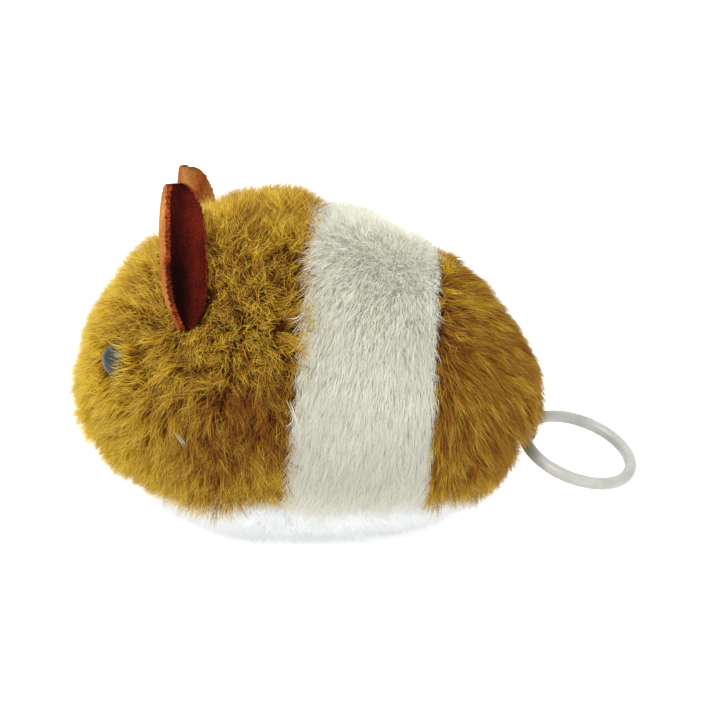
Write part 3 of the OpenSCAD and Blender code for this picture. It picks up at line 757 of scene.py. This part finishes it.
def band_lie(p):
    """The pile on the band: a little towards the head, and down both sides from a parting
    along the top."""
    rear = clip01((p[:, 0:1] - HEAD_SEAM_X) / (RUMP_SEAM_X - HEAD_SEAM_X))
    high = clip01((p[:, 2:3] - 36 * MM) / (18 * MM))
    parting = 0.5 * np.tanh(p[:, 1:2] / (4 * MM))
    return np.concatenate((-0.3 - 0.4 * high + 0.2 * rear**3, parting, -0.8 + 0.25 * high), 1)


def rump_lie(p):
    """The pile on the rump: a fan from high on the seam, down and towards the tail."""
    source = np.array((12 * MM, 0, 46 * MM))
    fan = unit((p - source) * np.array((1, 0, 1)))
    near_seam = clip01(1 - (p[:, 0:1] - RUMP_SEAM_X) / (5 * MM))
    return 1.3 * fan + np.array((0.2, 0, -0.3)) - 1.8 * near_seam * np.array((1, 0, 0))


def belly_lie(p):
    """The pile under the body: down and outwards."""
    out = unit((p - np.array((WAIST_X, 0, 0))) * np.array((1, 1, 0)))
    return 0.5 * out + np.array((0, 0, -0.7))


PILE = {  # how the pile lies, its lean in degrees, and its length
    "head": (head_lie, 27, 5.7 * MM),
    "band": (band_lie, 36, 5.5 * MM),
    "rump": (rump_lie, 33, 5.6 * MM),
    "belly": (belly_lie, 34, 5.6 * MM),
}
# In turn: how much the tufts disturb the lie, how curly the fibres are, how pale they are and how
# much their tufts differ in that. In millimetres: how high over the body's outline the pile is
# sheared, how far its tallest tufts stand above that, and how deep it dips at a seam.
UNREST = {"head": 0.9, "band": 0.12, "rump": 0.85, "belly": 0.7}
CURL = {"head": 0.05, "band": 0.045, "rump": 0.04, "belly": 0.08}
SHADE = {"head": 0.51, "band": 0.57, "rump": 0.2, "belly": 0.5}
SHADE_SPREAD = {"head": 0.2, "band": 0.12, "rump": 0.3, "belly": 0.15}
SHEARED = {"head": -0.1, "band": -0.2, "rump": -0.6, "belly": -0.2}
STANDING = {"head": 1.8, "band": 1.0, "rump": 1.3, "belly": 1.3}
SEAM_DIP = {"head": 2.2, "band": 1.4, "rump": -0.4, "belly": 0.0}
BIG_TUFT = 4.0 * MM
SMALL_TUFT = 0.9 * MM

# Painted light and shade: tops and the muzzle painted paler and low parts darker, for how the light
# falls; the hems, whose tips face down, and the band's lowest edge painted paler, standing in for
# light from below.
PAINTED_LIGHT_ZONES = {  # painted light and shade: axis, from where to where along it in mm the shade changes, and by how much
    "head": [(0, -24, -38, 0.6), (2, 14, 9, 0.8)],
    "band": [(2, 26, 16, -0.45), (2, 17, 12, 0.9)],
    "rump": [(2, 28, 18, -0.22), (2, 36, 44, 0.2), (2, 18, 12, 0.8)],
    "belly": [],
}
PAINTED_SHADOW_PLACE = (-11.5 * MM, 28 * MM)  # X and Z of the painted shadow low on the head, where the pile is seen deep
PAINTED_SHADOW_RADIUS = 8.5 * MM

LOCKS = {  # where the pile is longer or shorter: place, size and rise, in mm
    "head": [((-29, 0, 50), 2.6, 1.0), ((-24.5, 0, 53), 2.6, -1.6), ((-40, 0, 36), 1.8, -1.2)],
    "band": [((15, 0, 55.5), 7.0, -0.9), ((2, 0, 56.5), 4.5, -2.2)],
    "rump": [((41, 0, 25), 2.2, 1.5), ((36, 0, 39), 7.0, -1.0)],
}


def lock_rise(panel, roots):
    """How much higher or lower than the rest the pile is at each root."""
    rise = np.zeros(len(roots))
    for place, size, height in LOCKS.get(panel, ()):
        apart = np.linalg.norm((roots - np.array(place) * MM) * np.array((1, 0.4, 1)), axis=1)
        rise += height * MM * np.exp(-((apart / (size * MM)) ** 2))
    return rise


class Tufts:
    """Groups of neighbouring fibres that share random values. Each one's middle is a root."""

    def __init__(self, roots, density, spacing):
        count = max(1, int(len(roots) * MM * MM / density / spacing**2))
        self.centres = random.choice(len(roots), count, replace=False)
        tree = KDTree(count)
        for number, centre in enumerate(self.centres):
            tree.insert(roots[centre], number)
        tree.balance()
        self.number = np.array([tree.find(root)[1] for root in roots])

    def normal(self, *size):
        return random.normal(size=(len(self.centres), *size))[self.number]

    def share(self):
        return random.random(len(self.centres))[self.number]


def soft_noise(p, size, seed):
    """Smooth noise from about -1 to 1: a few waves in fixed random directions."""
    waves = np.random.default_rng(seed)
    total = np.zeros(len(p))
    for _ in range(6):
        direction = unit(waves.normal(size=3))
        length = size * waves.uniform(0.7, 1.5)
        total += np.sin(p @ direction * 2 * math.pi / length + waves.uniform(0, 7))
    return total / 3


def pile_flow(panel, roots, normals, big, small):
    """Which way each fibre leans along the skin, and by its length how far."""
    unrest = UNREST[panel]
    flow = PILE[panel][0](roots)
    flow += 0.27 * unrest * big.normal(3)
    flow += 0.52 * unrest * small.normal(3)
    flow += (0.15 + 0.15 * unrest) * random.normal(size=(len(roots), 3))
    return flow - normals * dot(flow, normals)


def pile_length(panel, roots, rise, big, small):
    """The length of each fibre, which differs from tuft to tuft and within a tuft."""
    length = PILE[panel][2]
    long = length * (1 + 0.07 * big.normal())
    long *= 1 + 0.10 * small.normal()
    long *= 1 + 0.10 * random.normal(size=len(roots))
    long = np.clip(long + rise, 0.5 * length, 1.3 * length)[:, None]
    if panel == "head":
        long *= 1 + (0.7 * hem_middle(roots) - 0.4) * hem_share(roots)
    return long


def pile_height(panel, roots, normals, rise, big, small):
    """How far above the body's outline each fibre may stand."""
    height = STANDING[panel] * MM * big.share()
    height += 0.8 * MM * UNREST[panel] * small.share()
    dip = seam_share(roots) * (0.7 + 0.3 * np.abs(normals[:, 2]))
    height += SHEARED[panel] * MM - SEAM_DIP[panel] * MM * dip
    return height + np.maximum(rise, 0)


def pile_shade(panel, roots, normals, big, small):
    """How pale each fibre is: 0 is its dark colours and 1 its light ones. Besides tones that differ
    at random, it holds painted light and shade.
    """
    unrest = UNREST[panel]
    shade = SHADE[panel] + SHADE_SPREAD[panel] * small.normal()
    shade += 0.05 * unrest * big.normal()
    shade += (0.25 + 0.08 * unrest) * random.normal(size=len(roots))
    shade += 0.14 * soft_noise(roots, 12 * MM, 3)
    # painted light and shade, zone by zone
    for axis, start, end, change in PAINTED_LIGHT_ZONES[panel]:
        start, end = start * MM, end * MM
        shade += change * clip01((roots[:, axis] - start) / (end - start))
    if panel == "head":
        shade += 0.08 * soft_noise(roots, 5 * MM, 8)
        # painted shadow low on the head, where one looks deep into the pile
        apart = np.hypot(roots[:, 0] - PAINTED_SHADOW_PLACE[0], roots[:, 2] - PAINTED_SHADOW_PLACE[1])
        shade -= 0.6 * np.exp(-((apart / PAINTED_SHADOW_RADIUS) ** 2))
    if panel == "band":
        # painted shade: the upward-facing top of the band painted darker, where the top light falls
        shade -= 0.2 * clip01((normals[:, 2] - 0.55) / 0.45)
    return shade


def grow_pile(panel, roots, normals):
    """Middle and tip of each fibre, and its shade."""
    _, lean, length = PILE[panel]
    count = len(roots)
    density = FIBRES_PER_SQUARE_MM[panel]
    big = Tufts(roots, density, BIG_TUFT)
    small = Tufts(roots, density, SMALL_TUFT)
    flow = pile_flow(panel, roots, normals, big, small)
    angle = np.radians(lean) * np.clip(np.linalg.norm(flow, axis=1, keepdims=True), 0.75, 1.3)
    tangent = unit(flow)
    rise = lock_rise(panel, roots)
    long = pile_length(panel, roots, rise, big, small)
    middles = roots + 0.5 * long * (normals * np.cos(angle / 2) + tangent * np.sin(angle / 2))
    tips = roots + long * (normals * np.cos(angle) + tangent * np.sin(angle))
    tips[:, 2:] -= 0.10 * long * (1 - np.abs(normals[:, 2:]))
    pull = UNREST[panel] * random.uniform(0.1, 0.6, (count, 1))
    offset = roots - roots[small.centres[small.number]]
    tips -= pull * offset
    middles -= 0.3 * pull * offset
    middles += CURL[panel] * length * random.normal(size=(count, 3))
    tips += CURL[panel] * length * random.normal(size=(count, 3))
    tips = trim(tips, pile_height(panel, roots, normals, rise, big, small)[:, None])
    middles = trim(middles, 0.2 * MM)
    return middles, tips, pile_shade(panel, roots, normals, big, small)


EYES = ("eye_left", "eye_right")
EYE_YAW = 149.0  # degrees from +X in plan that the dome looks
EYE_TILT = 86.0  # degrees from straight up
COMBED_REACH = 4.6 * MM
COMBED_SHARE = 0.8


def comb_over_eyes(roots, middles, tips):
    """Lays most of the pile that grows behind each eye forwards, over the eye's rear edge."""
    for name in EYES:
        centre, outward, top = eye_axis(name)
        rearwards = unit(np.array((1.0, 0, 0)) - outward[0] * outward)
        offset = roots - centre
        along = offset @ outward
        flat = offset - along[:, None] * outward
        reach = np.linalg.norm(flat, axis=1)
        chosen = (reach < COMBED_REACH) & (flat @ rearwards > 0.6 * reach) & (np.abs(along) < 8 * MM)
        chosen &= random.random(len(roots)) < COMBED_SHARE
        count = int(chosen.sum())
        towards = flat[chosen] / np.maximum(reach[chosen], 0.1 * MM)[:, None]
        height = top + random.uniform(-0.4, 0.6, (count, 1)) * MM
        rise = height - ((tips[chosen] - centre) @ outward)[:, None]
        tips[chosen] += rise * outward - random.uniform(0.2, 1.5, (count, 1)) * MM * towards
        middles[chosen] = (roots[chosen] + tips[chosen]) / 2 + 0.7 * MM * outward


def keep_clear(panel, roots, middles, tips):
    """Which fibres stay, once those in the ring's pocket, an eye or an ear's fold are left out."""
    stay = np.ones(len(roots), bool)
    if panel == "rump":
        for points in (roots, middles, tips):
            pocket = pocket_distance(points) < POCKET_RADIUS - 0.4 * MM
            lead = np.hypot(points[:, 1], points[:, 2] - cord_z) < 2 * CORD_RADIUS
            stay &= ~((pocket | lead) & (points[:, 0] > 30 * MM))
    if panel == "head":
        for name in EYES:
            stay &= ~in_eye(name, roots, 3.0 * MM, 3 * MM)
            stay &= ~in_eye(name, middles, 3.4 * MM, 0.4 * MM)
            stay &= ~in_eye(name, tips, 3.5 * MM, 0.1 * MM)
        for share in (0.35, 0.7, 1.0):
            stay &= ~in_ear_fold(middles + share * (tips - middles))
    return stay


def eye_axis(name):
    """The centre of an eye's dome, the direction that it looks in and its height that way."""
    low, high = (np.array(corner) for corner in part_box(name))
    side = 1 if low[1] > 0 else -1
    yaw, tilt = math.radians(EYE_YAW), math.radians(EYE_TILT)
    level = math.sin(tilt)
    outward = np.array((level * math.cos(yaw), side * level * math.sin(yaw), math.cos(tilt)))
    vertices = np.array([v.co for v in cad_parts[name].data.vertices])
    reach = vertices @ outward
    centre = vertices[(reach > reach.max() - 2.5 * MM)].mean(0)
    return centre, outward, reach.max() - centre @ outward


def in_eye(name, points, radius, rear):
    """Which points lie over an eye, but for the part of it more than rear behind its middle."""
    centre, outward, _ = eye_axis(name)
    offset = points - centre
    along = offset @ outward
    across = np.linalg.norm(offset - along[:, None] * outward, axis=1)
    return (across < radius) & (along > -6 * MM) & (along < 8 * MM) & (offset[:, 0] < rear)


def fibre_mesh(name, roots, middles, tips, shades, width):
    """Fibres as three-sided tapered hairs: a ring at the root, a ring at the middle and a point."""
    count = len(roots)
    along = unit(tips - roots)
    side = unit(np.cross(along, unit(random.normal(size=(count, 3)))))
    other = np.cross(along, side)
    angles = np.radians((0, 120, 240))[None, :, None]
    spokes = np.cos(angles) * side[:, None] + np.sin(angles) * other[:, None]
    root_ring = roots[:, None] + 0.5 * width[:, None, None] * spokes
    middle_ring = middles[:, None] + 0.42 * width[:, None, None] * spokes
    points = np.concatenate((root_ring, middle_ring, tips[:, None]), 1).reshape(-1, 3)
    corners = [(2, 1, 0)]
    for k in range(3):
        n = (k + 1) % 3
        corners += [(k, n, 3 + n), (k, 3 + n, 3 + k), (3 + k, 3 + n, 6)]
    corners = np.array(corners)
    indices = (np.arange(count)[:, None, None] * 7 + corners[None]).reshape(-1)
    triangles = count * len(corners)
    mesh = bpy.data.meshes.new(name)
    mesh.vertices.add(len(points))
    mesh.vertices.foreach_set("co", points.astype(np.float32).ravel())
    mesh.loops.add(3 * triangles)
    mesh.loops.foreach_set("vertex_index", indices.astype(np.int32))
    mesh.polygons.add(triangles)
    mesh.polygons.foreach_set("loop_start", np.arange(0, 3 * triangles, 3, dtype=np.int32))
    mesh.polygons.foreach_set("use_smooth", np.ones(triangles, bool))
    spread = np.array((-1, 0, 1, -1, 0, 1, 0)) * 0.004
    u = np.clip(shades, 0.02, 0.98)[:, None] + spread[None]
    v = np.broadcast_to(np.array((0.01, 0.01, 0.01, 0.5, 0.5, 0.5, 0.99)), u.shape)
    uv = np.stack((u, v), -1).reshape(-1, 2)[indices]
    layer = mesh.uv_layers.new(name="OFBake")
    layer.data.foreach_set("uv", uv.astype(np.float32).ravel())
    mesh.update(calc_edges=True)
    return new_object(name, mesh)


def build_fur(panel, origins, directions):
    slot = PANELS[panel][1]
    roots, normals = spread_roots(origins, directions, FIBRES_PER_SQUARE_MM[panel])
    if panel == "rump":
        roots = press_pocket(roots, POCKET_FLOOR_X)
    middles, tips, shades = grow_pile(panel, roots, normals)
    if panel == "head":
        comb_over_eyes(roots, middles, tips)
        press_behind_ears(roots, middles)
        press_behind_ears(roots, tips)
    floor = FLOOR_CLEARANCE
    tips[:, 2] = np.where(tips[:, 2] < floor, floor + 0.1 * MM * random.random(len(tips)), tips[:, 2])
    middles[:, 2] = np.maximum(middles[:, 2], floor)
    stay = keep_clear(panel, roots, middles, tips)
    roots, middles, tips, shades = roots[stay], middles[stay], tips[stay], shades[stay]
    width = random.uniform(*FIBRE_WIDTHS, len(roots)) * MM
    for number, start in enumerate(range(0, len(roots), FIBRES_A_PIECE)):
        part = slice(start, start + FIBRES_A_PIECE)
        name = f"{panel}_pile_{number + 1}"
        pile = fibre_mesh(name, roots[part], middles[part], tips[part], shades[part], width[part])
        pile.data.materials.append(fur_materials[slot])
        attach(pile, "body")


STRAYS = (  # long pale hairs caught on the left side: where they start and end in X and Z, in mm
    ((-3.4, 29.5), (-1.2, 23.0)),
    ((-0.8, 43.5), (-3.8, 42.5)),
    ((-22.5, 23.0), (-20.8, 20.8)),
    ((20.3, 48.0), (22.6, 46.8)),
)


def on_left_side(places, inset):
    """The points of the left side's skin at some places in X and Z, in millimetres."""
    origins = np.insert(places * MM, 1, 0, axis=1)
    return skin_points(origins, np.broadcast_to((0.0, -1.0, 0.0), origins.shape), inset)


def build_strays():
    hairs = 3  # at each place
    starts, ends = (np.repeat(ways, hairs, axis=0) for ways in np.swapaxes(np.array(STRAYS), 0, 1))
    starts = starts + 0.25 * random.normal(size=starts.shape)
    ends = ends + 0.35 * random.normal(size=ends.shape)
    roots = on_left_side(starts, 0.8 * MM)
    middles = on_left_side((starts + ends) / 2 + (0.3, 0), -0.3 * MM)
    tips = on_left_side(ends, 0)
    shades = random.uniform(0.7, 1.0, len(roots))
    strays = fibre_mesh("stray_hairs", roots, middles, tips, shades, np.full(len(roots), 0.1 * MM))
    strays.data.materials.append(fur_materials["ivory_plush"])
    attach(strays, "body")


PANEL_ROWS = 28
PANEL_COLUMNS = 56

for panel, (origins, directions) in panel_grids(PANEL_ROWS, PANEL_COLUMNS).items():
    build_skin(panel, origins, directions)
    build_fur(panel, origins, directions)
build_strays()


# ---------- pull ring and cord ----------

ring_low, ring_high = (np.array(corner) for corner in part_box("pull_ring"))
ring_centre = (ring_low + ring_high) / 2
RING_TUBE = 1.12 * MM
RING_TURN = Matrix.Rotation(math.radians(RING_DROOP), 3, "Y")
RING_TURN = RING_TURN @ Matrix.Rotation(math.radians(RING_ROLL), 3, "X")


def ring_radius():
    """The radius of the ring's middle line, from the width of its box across Y."""
    axis_y = (RING_TURN @ Vector((0, 0, 1))).y
    half_width = (ring_high[1] - ring_low[1]) / 2
    return (half_width - RING_TUBE) / math.sqrt(1 - axis_y**2)


def build_ring():
    radius = ring_radius()
    angles = np.linspace(0, 2 * math.pi, 144, endpoint=False)
    circle = np.stack((radius * np.cos(angles), radius * np.sin(angles), 0 * angles), -1)
    route = circle @ np.array(RING_TURN).T + ring_centre
    ring = tube("ring", route, RING_TUBE, ring_material(), 28, closed=True)
    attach(ring, "ring")
    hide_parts("pull_ring")


def ring_material():
    """Milky moulded plastic that lets a little light in."""
    build = Build("milky_plastic", Roughness=0.28, Subsurface_Weight=0.35, Subsurface_Scale=1.2 * MM)
    build.mottle(srgb(140, 141, 134), srgb(156, 157, 150), 3.0)
    build.bump(build.noise(1.5, 3.0), 0.15, 0.05 * MM)
    return build.material


ring_side = np.array(RING_TURN @ Vector((1, 0, 0)))
ring_axis = np.array(RING_TURN @ Vector((0, 0, 1)))
tie_at = ring_centre - ring_radius() * ring_side


def build_lead(material):
    """The cord from the drum to its knot, built straight at rest."""
    low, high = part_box("cord_lead")
    along = np.linspace(low[0], high[0], 280)
    route = np.stack((along, 0 * along, 0 * along + cord_z), -1)
    lead = tube("pull_cord", route, CORD_RADIUS, material, 14)
    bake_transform(lead)
    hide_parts("cord_lead")


KNOT_RADIUS = 1.05 * MM
KNOT_STRAND = 0.36 * MM


def build_knot(material):
    """A tight overhand knot outside the eyelet, and the loop that holds the ring."""
    low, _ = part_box("cord_knot")
    turn = np.linspace(0, 2 * math.pi, 90, endpoint=False)
    size = (KNOT_RADIUS - KNOT_STRAND) / 3
    across = size * (np.sin(turn) + 2 * np.sin(2 * turn))
    up = size * (np.cos(turn) - 2 * np.cos(2 * turn))
    along = -1.6 * size * np.sin(3 * turn)
    centre = np.array((low[0] + KNOT_RADIUS, 0, cord_z))
    route = np.stack((along, across, up), -1) + centre
    knot = tube("cord_knot_strand", route, KNOT_STRAND, material, closed=True)
    radius = RING_TUBE + 0.04 * MM + CORD_RADIUS
    route = tie_at + radius * (np.cos(turn)[:, None] * ring_side + np.sin(turn)[:, None] * ring_axis)
    loop = tube("cord_loop", route, CORD_RADIUS, material, 14, closed=True)
    for piece in (knot, loop):
        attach(piece, "ring")
        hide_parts("cord_knot")


def build_winding(material):
    """Three turns of the cord on the drum's core, ending where the lead leaves it."""
    low, high = (np.array(corner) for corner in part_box("cord_winding"))
    centre = (low + high) / 2
    radius = (high[0] - low[0]) / 2 - CORD_RADIUS
    turns = 3
    last_y = high[1] - CORD_RADIUS
    pitch = (last_y - low[1] - CORD_RADIUS) / turns
    turn = np.linspace(0, turns, turns * 60 + 1)
    angle = 2 * math.pi * turn
    x = centre[0] + radius * np.sin(angle)
    z = centre[2] - radius * np.cos(angle)
    route = np.stack((x, last_y - pitch * (turns - turn), z), -1)
    winding = tube("cord_turns", route, CORD_RADIUS, material)
    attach(winding, "drum")
    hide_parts("cord_winding")


build_ring()
cord = cord_material()
build_lead(cord)
build_knot(cord)
build_winding(cord)


# ---------- eyes and clockwork: the CAD pieces, with their finishes ----------

def finish_nodes(material, *nodes):
    for node in nodes:
        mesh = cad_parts[node].data
        mesh.materials.clear()
        mesh.materials.append(material)


def eye_material():
    """Dark polished plastic, a little blue."""
    coat = {"Coat_Weight": 0.08, "Coat_Roughness": 0.05}
    build = Build("eye_black", Roughness=0.22, Specular_IOR_Level=0.25, **coat)
    build.mottle(srgb(16, 20, 21), srgb(38, 46, 48), 1.6)
    return build.material


def fill_material():
    """Polyester fibre fill: a soft tangle."""
    build = Build("fibre_fill", Roughness=0.95, Specular_IOR_Level=0.1, Sheen_Weight=0.2)
    build.mottle(srgb(206, 206, 202), srgb(238, 238, 235), 1.5, 6.0)
    build.bump(build.noise(0.8, 6.0), 0.8, 0.6 * MM)
    return build.material


finish_nodes(eye_material(), *EYES)
finish_nodes(plastic("washer_plastic", srgb(226, 226, 222), 0.5), "eye_washers")
finish_nodes(fill_material(), "stuffing")
finish_nodes(ring_material(), "tail_eyelet", "cord_guide")
finish_nodes(plastic("case_plastic", srgb(206, 206, 200), 0.38), "case_left", "case_right")
finish_nodes(plastic("drum_plastic", srgb(222, 118, 42), 0.35), "cord_drum")
finish_nodes(plastic("gear_plastic", srgb(230, 230, 222), 0.42), "idler_gear", "weight_pinion")
finish_nodes(metal("screw_steel", srgb(196, 196, 200), 0.3, (1, 6, 1)), "case_screws")
finish_nodes(
    metal("steel", srgb(200, 200, 204), 0.22, (1, 6, 1)), "drum_axle", "idler_axle", "weight_axle"
)
finish_nodes(metal("spring_steel", srgb(110, 122, 140), 0.3, (1, 1, 1)), "mainspring")
finish_nodes(metal("weight_steel", srgb(150, 150, 156), 0.45, (1, 1, 1)), "eccentric_weight")


# ---------- floor, light and camera ----------

def build_floor():
    bpy.ops.mesh.primitive_plane_add(size=6, location=(0, 0, 0))
    floor = bpy.context.object
    floor.name = "floor"
    glow = {"Emission_Color": (1, 1, 1, 1), "Emission_Strength": 0.4}
    build = Build("floor", Roughness=0.9, Specular_IOR_Level=0.1, **glow)
    build.mottle((0.88, 0.88, 0.88, 1), (0.9, 0.9, 0.9, 1), 30.0)
    floor.data.materials.append(build.material)


def area_light(name, place, target, size, power):
    light = bpy.data.lights.new(name, "AREA")
    light.shape = "DISK"
    light.size = size
    light.energy = power
    lamp = new_object(name, light)
    lamp.location = place
    lamp.rotation_euler = (Vector(target) - Vector(place)).to_track_quat("-Z", "Y").to_euler()


def build_world():
    world = bpy.data.worlds.new("studio")
    bpy.context.scene.world = world
    world.use_nodes = True
    background = world.node_tree.nodes["Background"]
    background.inputs["Color"].default_value = (1, 1, 1, 1)
    background.inputs["Strength"].default_value = 1.2


CAMERA_DISTANCE = 420 * MM
CAMERA_HEIGHT = 10.0  # degrees above the level of its target
CAMERA_ANGLE = 17.35  # degrees
TARGET_Z = 32 * MM


def build_camera():
    box_low, box_high = cad_box
    target = Vector(((box_low[0] + box_high[0]) / 2, 0, TARGET_Z))
    height = math.radians(CAMERA_HEIGHT)
    away = Vector((0, -CAMERA_DISTANCE * math.cos(height), CAMERA_DISTANCE * math.sin(height)))
    camera = new_object("camera", bpy.data.cameras.new("camera"))
    camera.location = target + away
    camera.rotation_euler = (target - camera.location).to_track_quat("-Z", "Y").to_euler()
    camera.data.angle = math.radians(CAMERA_ANGLE)
    camera.data.clip_start = 0.01
    bpy.context.scene.camera = camera


build_floor()
area_light("key", (-0.25, -0.55, 0.6), (0, 0, 0.03), 0.6, 6.5)
area_light("top", (0.1, 0.1, 0.8), (0, 0, 0.03), 0.7, 1.2)
build_world()
build_camera()
bpy.context.scene.view_settings.view_transform = "Standard"
